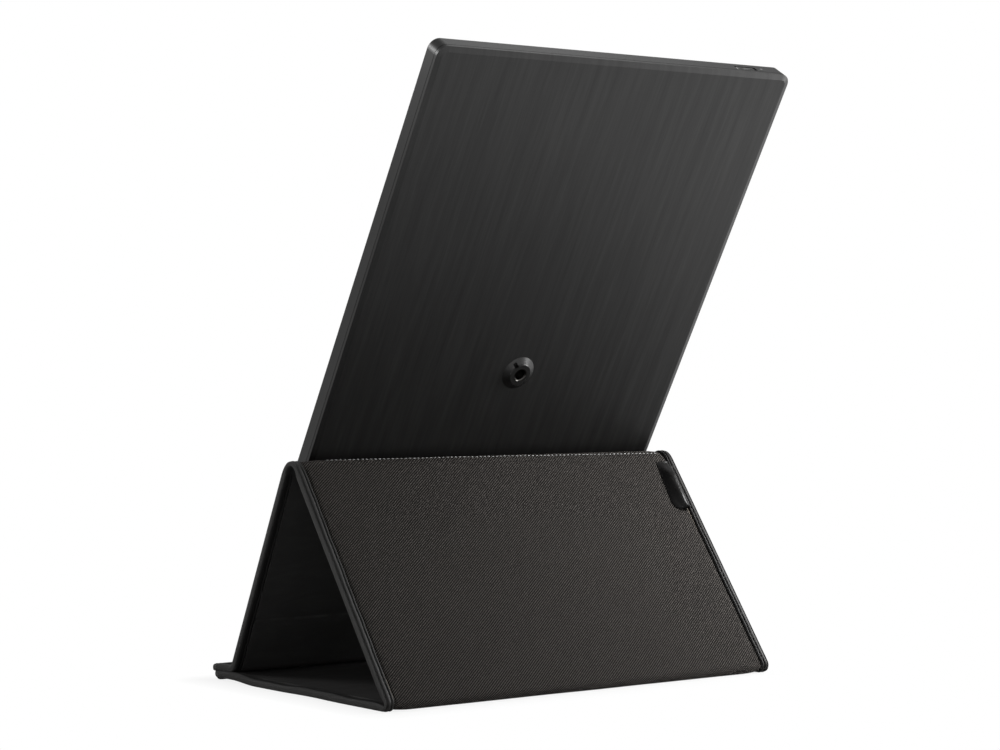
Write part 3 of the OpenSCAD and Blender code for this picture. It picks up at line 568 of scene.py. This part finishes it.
# Distances along the sleeve from the heel: the ends of rear panel, ridge and front panel, and the crease
REAR_S = float(UPPER_S[1 + REAR_STEPS])
RIDGE_S = float(UPPER_S[1 + REAR_STEPS + RIDGE_STEPS])
TOE_S = float(UPPER_S[1 + REAR_STEPS + RIDGE_STEPS + FRONT_STEPS])
CREASE_S = TOE_S - CREASE_UP

# How the real stand is out of square: shift of its +X and -X ends at distances along the sleeve
END_PLACES = [float(LOWER_S[0]), -14.0, 0.0, REAR_S, RIDGE_S, TOE_S, float(UPPER_S[-1])]
PLUS_END = [-0.4, 0.0, 0.0, 3.4, 4.0, -2.0, -0.6]
MINUS_END = [0.0, -3.0, -3.0, 0.9, 0.9, 0.0, 0.0]


def skew(x, s):
    """Shift along X at a place x and a distance s along the sleeve from the heel."""
    share = np.clip((x + HALF_LEN) / (2 * HALF_LEN), 0, 1)
    plus, minus = np.interp(s, END_PLACES, PLUS_END), np.interp(s, END_PLACES, MINUS_END)
    return share * plus + (1 - share) * minus


def swell(x, s):
    """How far the fold along the ridge stands off its path: it rises towards the +X end."""
    across = np.clip((s - REAR_S) / (RIDGE_S - REAR_S), 0, 1)
    return np.clip(SWELL_MID + SWELL_RISE * x, 0.0, SWELL_MOST) * np.sin(math.pi * across) ** 2


def panel_thickness(s):
    """Thickness of the sleeve along its path: thinner where it folds."""
    at_heel = np.exp(-((s - THIN_HEEL_S) / THIN_HEEL) ** 2)
    ridge_mid = (REAR_S + RIDGE_S) / 2
    at_ridge = np.exp(-((s - ridge_mid) / THIN_RIDGE) ** 4)
    return PANEL_T - (PANEL_T - FOLD_T) * np.maximum(at_heel, 0.9 * at_ridge)


def lift(x, y, s):
    """The base's ends curl up at its front corners, and run in a slow wave behind them."""
    end = np.clip((np.abs(x) - CURL_X) / (HALF_LEN - CURL_X), 0, 1) ** 2
    wave = WAVE_HIGH * np.exp(-((y - WAVE_Y) / WAVE_WIDE) ** 2)
    return np.where(s < 0, end * (BASE_LIFT * smooth((CURL_Y - y) / CURL_LONG) + wave), 0.0)


def ripple(x, s, size, scale, seed):
    """Slow unevenness of padded cloth, in mm."""
    places = zip(x.ravel(), s.ravel())
    values = np.array([noise.noise(Vector((a * scale, b * scale, seed))) for a, b in places])
    return size * values.reshape(x.shape)


# ---- sleeve: meshes ----

def make_mesh(name, points, faces, cloth, material):
    """A smooth object from points in mm, which keeps each point's place on the flat cloth."""
    mesh = bpy.data.meshes.new(name)
    mesh.from_pydata((points * MM).tolist(), [], faces)
    attribute = mesh.attributes.new("cloth", "FLOAT_VECTOR", "POINT")
    attribute.data.foreach_set("vector", np.asarray(cloth, np.float32).ravel())
    mesh.materials.append(material)
    mesh.polygons.foreach_set("use_smooth", [True] * len(mesh.polygons))
    mesh.update()
    made = bpy.data.objects.new(name, mesh)
    bpy.context.scene.collection.objects.link(made)
    return made


def sweep(name, path, s, profile_x, profile_depth, material, flip=False):
    """A closed profile (X, depth under the outer face) along the path. It may change on the way."""
    stations, points = len(path), profile_x.shape[1]
    place = s[:, None]
    x = profile_x + skew(profile_x, place)
    off = profile_depth - swell(profile_x, place)
    y = path[:, 0:1] - off * path[:, 2:3]
    z = path[:, 1:2] - off * path[:, 3:4]
    z = z + lift(profile_x, y, place)
    grid = np.stack([x, y, z], axis=-1).reshape(-1, 3)
    cloth = np.stack([profile_x, np.repeat(place, points, 1), profile_depth], axis=-1).reshape(-1, 3)
    faces = []
    for i in range(stations - 1):
        for j in range(points):
            k = (j + 1) % points
            quad = [i * points + j, i * points + k, (i + 1) * points + k, (i + 1) * points + j]
            faces.append(quad[::-1] if flip else quad)
    first, last = list(range(points)), [(stations - 1) * points + j for j in range(points)]
    faces.append(first if flip else first[::-1])
    faces.append(last[::-1] if flip else last)
    made = make_mesh(name, grid, faces, cloth, material)
    for polygon in made.data.polygons[-2:]:
        polygon.use_smooth = False
    return made


def cloth_layer(name, path, s, outer_of, inner_of, material):
    """A sheet of cloth between the bindings, from an outer depth to an inner depth."""
    edge = HALF_LEN - CLOTH_EDGE
    middle = np.linspace(-edge, edge, CLOTH_COLUMNS)[3:-3]
    near = edge - EDGE_COLUMNS
    across = np.concatenate([-near, middle, near[::-1]])
    every = np.ones((len(path), 1))
    x = np.concatenate([across, across[::-1]])[None, :] * every
    s_grid = s[:, None] * np.ones((1, len(across)))
    a_grid = across[None, :] * every
    outer, inner = outer_of(a_grid, s_grid), inner_of(a_grid, s_grid)
    depth = np.concatenate([outer, inner[:, ::-1]], axis=1)
    return sweep(name, path, s, x, depth, material)


def seam_dip(x):
    """Depth that the cloth sinks by where it runs under the binding."""
    inward = HALF_LEN - CLOTH_EDGE - np.abs(x)
    return sum(deep * np.exp(-(inward / reach) ** 2) for deep, reach in SEAM_DIPS)


def cover_outer(x, s):
    return seam_dip(x) + ripple(x, s, size=0.16, scale=0.022, seed=3.0)


def cover_inner(x, s):
    return np.maximum(cover_outer(x, s) + COVER_T, BOARD_FROM)


def lining_outer(x, s):
    return panel_thickness(s) - (PANEL_T - BOARD_TO)


def crease(s):
    """Depth change of the lining at the gap between the front panel's two boards."""
    return sum(deep * np.exp(-((s - CREASE_S - at) / half) ** 2) for deep, at, half in CREASE_FORMS)


def lining_inner(x, s):
    loose = ripple(x, s, size=0.30, scale=0.03, seed=11.0) + ripple(x, s, size=0.14, scale=0.09, seed=5.0)
    quiet = 1.0 - np.exp(-((HALF_LEN - CLOTH_EDGE - np.abs(x)) / 6.0) ** 2)
    folds = np.where(s > RIDGE_S, crease(s), 0.0)
    return panel_thickness(s) - LINING_BELOW + (loose - LINING_SINK) * quiet + folds


def binding(name, path, s, side, material):
    """The tape along one end of the panels, with its beads, channels and inner lip."""
    profile = np.array(BINDING_OUTER + BINDING_INNER)
    from_end, depth = profile[:, 0], profile[:, 1]
    share = np.clip((depth - 1.0) / (PANEL_T - 1.0), 0.0, 1.0)
    uneven = 0.28 * np.sin(s / 13.0 + 1.0) + 0.16 * np.sin(s / 5.2)
    thickness = panel_thickness(s) + np.where(s < 0, uneven * smooth(-s / 30.0), 0.0)
    depths = depth[None, :] - share[None, :] * (PANEL_T - thickness)[:, None]
    soft = 0.10 * np.sin(s / 6.1 + side) + 0.08 * np.sin(s / 2.3)
    wander = from_end[None, :] + soft[:, None] * smooth((from_end - 0.5) / 2.0)[None, :]
    x = side * (HALF_LEN - wander)
    return sweep(name, path, s, x, depths, material, flip=side > 0)


def rolled_end(name, y, z, place, material):
    """The half-round end of a panel, with its corners rounded at both ends."""
    across = np.concatenate([
        -HALF_LEN + ROLL_CORNER * (1 - np.cos(np.linspace(0, math.pi / 2, 8))),
        np.linspace(-HALF_LEN + ROLL_CORNER, HALF_LEN - ROLL_CORNER, 60)[1:-1],
        HALF_LEN - ROLL_CORNER * (1 - np.cos(np.linspace(math.pi / 2, 0, 8)))])
    around = np.linspace(-math.pi / 2, math.pi / 2, 13)
    points, cloth = [], []
    for x in across:
        near = min(HALF_LEN - abs(x), ROLL_CORNER)
        reach = math.sqrt(max(1.0 - ((ROLL_CORNER - near) / ROLL_CORNER) ** 2, 0.0))
        half = PANEL_T / 2 * (0.62 + 0.38 * reach)
        out = (PANEL_T / 2) * (0.25 + 0.75 * reach)
        shifted = x + float(skew(x, place))
        for angle in around:
            far = y - out * math.cos(angle)
            curl = float(lift(np.array(x), np.array(far), np.array(place)))
            points.append((shifted, far, z + half * math.sin(angle) + curl))
            cloth.append((x * 0.3, x, angle))
        points += [(shifted, y + ROLL_IN, z + half * 0.92), (shifted, y + ROLL_IN, z - half * 0.92)]
        cloth += [(x * 0.3, x, 2.0), (x * 0.3, x, -2.0)]
    count = len(around) + 2
    faces = []
    for i in range(len(across) - 1):
        for j in range(count):
            k = (j + 1) % count
            faces.append([i * count + j, (i + 1) * count + j, (i + 1) * count + k, i * count + k])
    faces.append(list(range(count)))
    faces.append([(len(across) - 1) * count + j for j in range(count)][::-1])
    return make_mesh(name, np.array(points), faces, cloth, material)


def capsule_row(name, centres, directions, length, radius, material):
    """A row of short stitches lying along the given directions."""
    rings, sides = 5, 6
    points, faces, cloth = [], [], []
    for centre, direction in zip(centres, directions):
        direction = Vector(direction).normalized()
        side = direction.orthogonal().normalized()
        other = direction.cross(side)
        base = len(points)
        for i in range(rings):
            t = -1 + 2 * i / (rings - 1)
            width = radius * math.sqrt(max(1 - t * t * 0.96, 0.0))
            for j in range(sides):
                turn = 2 * math.pi * j / sides
                spot = Vector(centre) + direction * (t * length / 2)
                spot += (side * math.cos(turn) + other * math.sin(turn)) * width
                points.append(tuple(spot))
                cloth.append((i, j, 0))
        for i in range(rings - 1):
            for j in range(sides):
                k = (j + 1) % sides
                a, b = base + i * sides, base + (i + 1) * sides
                faces.append([a + j, a + k, b + k, b + j])
        faces.append([base + j for j in range(sides)][::-1])
        faces.append([base + (rings - 1) * sides + j for j in range(sides)])
    return make_mesh(name, np.array(points), faces, cloth, material)


def on_path(path, s, place, depth, x):
    """A point on the sleeve at a distance along its path, with the path's direction there."""
    y, z, ny, nz = (np.interp(place, s, path[:, i]) for i in range(4))
    ahead = [np.interp(place + 0.5, s, path[:, i]) - np.interp(place - 0.5, s, path[:, i])
             for i in range(2)]
    shift, off = float(skew(x, place)), depth - float(swell(x, place))
    return (x + shift, y - off * ny, z - off * nz), (0.0, ahead[0], ahead[1])


def edge_stitches(name, side, material):
    """Dark stitches down the rear panel, in a channel of the binding."""
    count = int((REAR_S - EDGE_CLEAR - EDGE_CLEAR) / EDGE_PITCH)
    x = side * (HALF_LEN - EDGE_IN)
    spots = [on_path(UPPER, UPPER_S, EDGE_CLEAR + EDGE_PITCH * i, EDGE_DEPTH, x) for i in range(count)]
    return capsule_row(name, [p for p, _ in spots], [d for _, d in spots], EDGE_STITCH, EDGE_R, material)


def ridge_stitches(material):
    """Pale stitches along the ridge, where the cover is sewn over the fold."""
    centres, directions = [], []
    for i in range(int((SEAM_TO - SEAM_FROM) / SEAM_PITCH)):
        x = SEAM_FROM + i * SEAM_PITCH
        place = REAR_S + RIDGE_R * (math.radians(SEAM_DEG + SEAM_TURN * x / -SEAM_FROM) + SLOPE)
        spot, _ = on_path(UPPER, UPPER_S, place, SEAM_DEPTH, x)
        centres.append((spot[0], spot[1] + 0.10 * math.sin(x / 7.0), spot[2]))
        directions.append((1.0, 0.10 * math.sin(x * 1.7), 0.0))
    return capsule_row("ridge_stitches", centres, directions, SEAM_STITCH, SEAM_R, material)


def loop_surface(u, v):
    """Offset, height and distance down of a point on the side loop: u goes across it and v down it."""
    corner = 1.0 - 0.5 * (1.0 - math.sqrt(1.0 - max((v - 0.8) / 0.2, 0.0) ** 2))
    width = corner * (LOOP_WIDTHS[0] + (LOOP_WIDTHS[1] - LOOP_WIDTHS[0]) * v)
    opening, closing = float(smooth(v / 0.35)), float(smooth((v - 0.7) / 0.3))
    rise = LOOP_HIGH * (0.30 + 0.70 * opening) * (1.0 - 0.25 * closing)
    bulge = math.sin(math.pi * u ** 0.62) ** 0.85
    return u * width, rise * bulge, v * LOOP_LONG


def side_loop(material):
    """Elastic loop beside the rear panel's edge: a low soft tunnel, sewn down along both sides."""
    rows, columns = 26, 22
    foot = -(HALF_LEN - LOOP_IN)
    start = RIDGE + RIDGE_R * REAR_OUT
    points, cloth = [], []
    for layer in (0.0, LOOP_T):
        for i in range(rows):
            v = i / (rows - 1)
            place = REAR_S - LOOP_FROM - v * LOOP_LONG
            for j in range(columns):
                u = j / (columns - 1)
                offset, height, down = loop_surface(u, v)
                slack = 0.35 * math.sin(u * 9.0 + v * 5.0) * math.sin(math.pi * u) * v
                rise = max(height + slack - layer * math.sin(math.pi * u) ** 0.4, 0.0) + 0.1
                spot = start + (LOOP_FROM + down) * REAR_DOWN + rise * REAR_OUT
                points.append((foot + offset + float(skew(foot, place)), spot[0], spot[1]))
                cloth.append((offset, down, layer))
    faces = []
    size = rows * columns
    for i in range(rows - 1):
        for j in range(columns - 1):
            a, d = i * columns + j, (i + 1) * columns + j
            b, c = a + 1, d + 1
            faces.append([d, c, b, a])
            faces.append([size + a, size + b, size + c, size + d])
    for i in range(rows - 1):
        for j in (0, columns - 1):
            a, b = i * columns + j, (i + 1) * columns + j
            faces.append([a, b, size + b, size + a] if j == 0 else [b, a, size + a, size + b])
    for j in range(columns - 1):
        for i in (0, rows - 1):
            a, b = i * columns + j, i * columns + j + 1
            faces.append([b, a, size + a, size + b] if i == 0 else [a, b, size + b, size + a])
    return make_mesh("elastic_loop", np.array(points), faces, cloth, material)


def covers(cloth):
    upper = cloth_layer("upper_cover", UPPER, UPPER_S, cover_outer, cover_inner, cloth)
    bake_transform(upper)
    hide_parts("rear_panel_cover", "ridge_fold", "front_panel_cover")
    lower = cloth_layer("lower_cover", LOWER, LOWER_S, cover_outer, cover_inner, cloth)
    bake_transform(lower)
    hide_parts("base_cover", "heel_fold")
    return upper, lower


def linings(inside):
    upper_in = cloth_layer("upper_lining", UPPER, UPPER_S, lining_outer, lining_inner, inside)
    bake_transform(upper_in)
    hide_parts("rear_panel_lining", "front_panel_lining")
    lower_in = cloth_layer("lower_lining", LOWER, LOWER_S, lining_outer, lining_inner, inside)
    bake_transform(lower_in)
    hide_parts("base_lining")
    return upper_in, lower_in


def bindings(tape, dark):
    for side, word in ((1, "left"), (-1, "right")):
        high = binding("upper_binding_" + word, UPPER, UPPER_S, side, tape)
        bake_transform(high)
        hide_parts("rear_panel_trim", "front_panel_trim")
        low = binding("lower_binding_" + word, LOWER, LOWER_S, side, tape)
        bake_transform(low)
        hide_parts("base_trim")
        seam = edge_stitches("edge_stitches_" + word, side, dark)
        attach(seam, "rear_panel")


def panel_ends(end_tape):
    ledge = rolled_end("ledge_roll", LEDGE_Y, LEDGE_TOP - PANEL_T / 2, UPPER_S[-1], end_tape)
    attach(ledge, "front_panel")
    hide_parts("ledge_end")
    base = rolled_end("base_roll", BASE_Y, PANEL_T / 2, LOWER_S[0], end_tape)
    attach(base, "base")
    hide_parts("base_end")


def ridge_seam(pale):
    stitches = ridge_stitches(pale)
    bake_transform(stitches)


def elastic_loop(elastic):
    loop = side_loop(elastic)
    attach(loop, "rear_panel")
    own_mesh(loop)
    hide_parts("side_loop")


def sleeve():
    """Makes the sleeve's soft pieces again, with cloth, lining, tape, thread and elastic."""
    cloth, inside = twill(), lining_cloth()
    tape = bound_edge("binding_tape", (0.0190, 0.0185, 0.0181), (0.0330, 0.0323, 0.0317))
    end_tape = bound_edge("end_tape", (0.036, 0.0353, 0.0346), (0.058, 0.0568, 0.0556))
    pale, dark = thread("pale_thread", 0.34, 0.58), thread("dark_thread", 0.018, 0.045)
    elastic = bound_edge("loop_elastic", (0.0050, 0.0048, 0.0047), (0.0100, 0.0097, 0.0094), 0.34)

    upper, lower = covers(cloth)
    upper_in, lower_in = linings(inside)
    bindings(tape, dark)
    panel_ends(end_tape)
    ridge_seam(pale)
    elastic_loop(elastic)


# ---- camera, floor and light ----

def camera():
    """The camera that took the photo, as fitted to its edges."""
    az, el, roll = CAMERA_AZ, CAMERA_EL, CAMERA_ROLL
    back = Vector((math.sin(az) * math.cos(el), -math.cos(az) * math.cos(el), math.sin(el)))
    right = Vector((0, 0, 1)).cross(back).normalized()
    up = back.cross(right)
    c, s = math.cos(roll), math.sin(roll)
    across, above = c * right + s * up, -s * right + c * up
    data = bpy.data.cameras.new("camera")
    data.lens, data.sensor_width, data.sensor_fit = FOCAL_MM, 36.0, "HORIZONTAL"
    data.clip_start, data.clip_end = 0.02, 100.0
    made = bpy.data.objects.new("camera", data)
    made.matrix_world = Matrix((
        (across.x, above.x, back.x, CAMERA_AT.x),
        (across.y, above.y, back.y, CAMERA_AT.y),
        (across.z, above.z, back.z, CAMERA_AT.z),
        (0, 0, 0, 1)))
    bpy.context.scene.collection.objects.link(made)
    bpy.context.scene.camera = made


def off_stand(s, parts):
    """Distance on the floor from the stand's outline."""
    beside = s.math("MAXIMUM", s.math("SUBTRACT", s.math("ABSOLUTE", parts["X"]), HALF_LEN * MM), 0.0)
    behind = s.math("MAXIMUM", s.math("SUBTRACT", s.math("ABSOLUTE", parts["Y"]), STAND_HALF), 0.0)
    squares = s.math("MULTIPLY", beside, beside), s.math("MULTIPLY", behind, behind)
    return s.math("SQRT", s.math("ADD", *squares))


def floor_white():
    """Lit and shadowed like a pale floor. To the camera it is white away from the object. In reflections
    it
    is white with painted shade: a painted shadow darkens it close to the object, and it darkens to its +X
    side."""
    s = Shader("floor_white")
    place = s.object_coords()
    grain = s.noise(place, 40, 2.0)
    lit = s.add("ShaderNodeBsdfPrincipled", {
        "Base Color": s.ramp(grain, [(0.2, 0.86), (0.8, 0.88)]), "Roughness": 0.9,
        "Specular IOR Level": 0.0})
    parts = s.parts(place)
    away = off_stand(s, parts)
    path = s.add("ShaderNodeLightPath").outputs
    near = s.ranged(away, 0.0, GREY_REACH, 0.84, 1.0)
    # Painted shadow and shade for reflections: white dimmed near the stand and towards +X
    painted_shade_in_reflection = s.ranged(away, MIRROR_FROM, MIRROR_TO, 0.12, 1.28, interpolation_type="SMOOTHSTEP")
    painted_side_shade = s.ranged(parts["X"], SIDE_FROM, SIDE_TO, 1.0, 0.35)
    painted_shade_in_reflection = s.math("MULTIPLY", painted_shade_in_reflection, painted_side_shade)
    strength = s.add("ShaderNodeMix", {0: path["Is Glossy Ray"], 2: 1.0, 3: painted_shade_in_reflection}).outputs[0]
    plain = s.add("ShaderNodeEmission", {"Color": grey(1.0), "Strength": strength})
    direct = s.math("MAXIMUM", s.math("MULTIPLY", path["Is Camera Ray"], near),
                    s.math("MAXIMUM", path["Is Glossy Ray"], path["Is Transmission Ray"]))
    mix = s.add("ShaderNodeMixShader", {"Fac": direct})
    s.tree.links.new(lit.outputs[0], mix.inputs[1])
    s.tree.links.new(plain.outputs[0], mix.inputs[2])
    s.put(s.out, "Surface", mix.outputs[0])
    return s.material


def floor():
    """A large pale disc just under the stand."""
    turns = [2 * math.pi * i / FLOOR_SIDES for i in range(FLOOR_SIDES)]
    points = [(FLOOR_R * math.cos(turn), FLOOR_R * math.sin(turn), -FLOOR_DOWN) for turn in turns]
    mesh = bpy.data.meshes.new("floor")
    mesh.from_pydata(points, [], [list(range(FLOOR_SIDES))])
    mesh.materials.append(floor_white())
    made = bpy.data.objects.new("floor", mesh)
    bpy.context.scene.collection.objects.link(made)


def world():
    """White to the camera and to reflections, and a soft even light on everything else."""
    made = bpy.data.worlds.new("studio")
    made.use_nodes = True
    tree = made.node_tree
    tree.nodes.clear()
    path = tree.nodes.new("ShaderNodeLightPath")
    seen = tree.nodes.new("ShaderNodeMath")
    seen.operation = "MAXIMUM"
    tree.links.new(path.outputs["Is Camera Ray"], seen.inputs[0])
    tree.links.new(path.outputs["Is Transmission Ray"], seen.inputs[1])
    shown = path.outputs["Is Glossy Ray"], seen.outputs[0]
    below = tree.nodes.new("ShaderNodeBackground")
    below.inputs["Strength"].default_value = SOFT_LIGHT
    for switch, strength in zip(shown, (MIRRORED_WHITE, 1.0)):
        above = tree.nodes.new("ShaderNodeBackground")
        above.inputs["Color"].default_value = (1, 1, 1, 1)
        above.inputs["Strength"].default_value = strength
        mix = tree.nodes.new("ShaderNodeMixShader")
        tree.links.new(switch, mix.inputs["Fac"])
        tree.links.new(below.outputs[0], mix.inputs[1])
        tree.links.new(above.outputs[0], mix.inputs[2])
        below = mix
    out = tree.nodes.new("ShaderNodeOutputWorld")
    tree.links.new(below.outputs[0], out.inputs["Surface"])
    bpy.context.scene.world = made


def softbox(name, place, target, size, power, beam_deg=180):
    """An area lamp that lights the object but isn't seen by the camera."""
    data = bpy.data.lights.new(name, "AREA")
    data.shape, data.size, data.size_y, data.energy = "RECTANGLE", size[0], size[1], power
    data.spread = math.radians(beam_deg)
    made = bpy.data.objects.new(name, data)
    made.visible_camera = False
    made.location = place
    made.rotation_euler = (Vector(target) - Vector(place)).to_track_quat("-Z", "Y").to_euler()
    bpy.context.scene.collection.objects.link(made)


def lights():
    """Lamps for the back and the twill, for the top, for the side wall, for the sleeve's +X end and for
    the inside of the folded stand."""
    softbox("key", (-0.46, 0.27, 0.31), (-0.08, 0.05, 0.08), (0.2, 0.2), 0.98, 80)
    softbox("top", (-0.37, -0.09, 0.95), (0.08, 0.18, 0.30), (0.35, 0.35), 0.42)
    softbox("side", (0.40, -0.22, 0.55), (0.117, 0.17, 0.40), (0.15, 0.15), 1.2)
    softbox("low", (0.50, -0.01, 0.05), (0.12, 0.0, 0.02), (0.2, 0.2), 0.62)
    softbox("tunnel", (0.44, 0.16, 0.04), (0.05, -0.055, 0.025), (0.16, 0.06), 0.014, 40)


camera()
world()
lights()
floor()
monitor_materials()
sleeve()
bpy.context.scene.view_settings.view_transform = "Standard"
